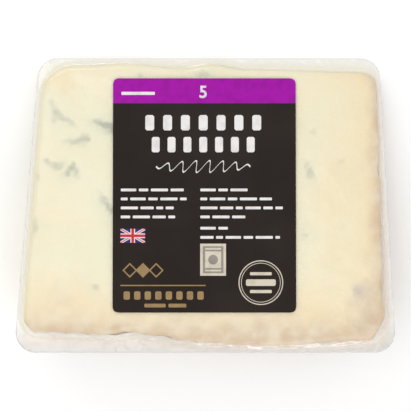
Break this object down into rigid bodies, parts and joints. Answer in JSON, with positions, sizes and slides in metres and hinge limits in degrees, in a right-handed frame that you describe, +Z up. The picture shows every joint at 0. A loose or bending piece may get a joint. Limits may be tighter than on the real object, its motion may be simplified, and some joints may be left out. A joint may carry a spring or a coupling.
{
  "type": "vacuum-packed stilton wedge",
  "caption": "Wedge of blue-veined cheese lying flat in a sealed clear film pack, a formed tray with a flat welded rim and a closing film, with a label on its sloping face.",
  "frame": {"origin": "centre of the pack's outline, on the flat surface that it lies on", "axes": "+Z up, +X across the pack to the crusted end, +Y from the thick crust side to the thin nose; the labelled face slopes down towards +Y"},
  "size_m": [0.1326, 0.0998, 0.0344],
  "materials": {
    "blue_cheese": "matte",
    "clear_film": "gloss",
    "printed_label": "satin"
  },
  "bodies": {
    "root": {"cheese": "blue_cheese", "tray_film": "clear_film", "lid_film": "clear_film", "label": "printed_label"}
  },
  "joints": []
}
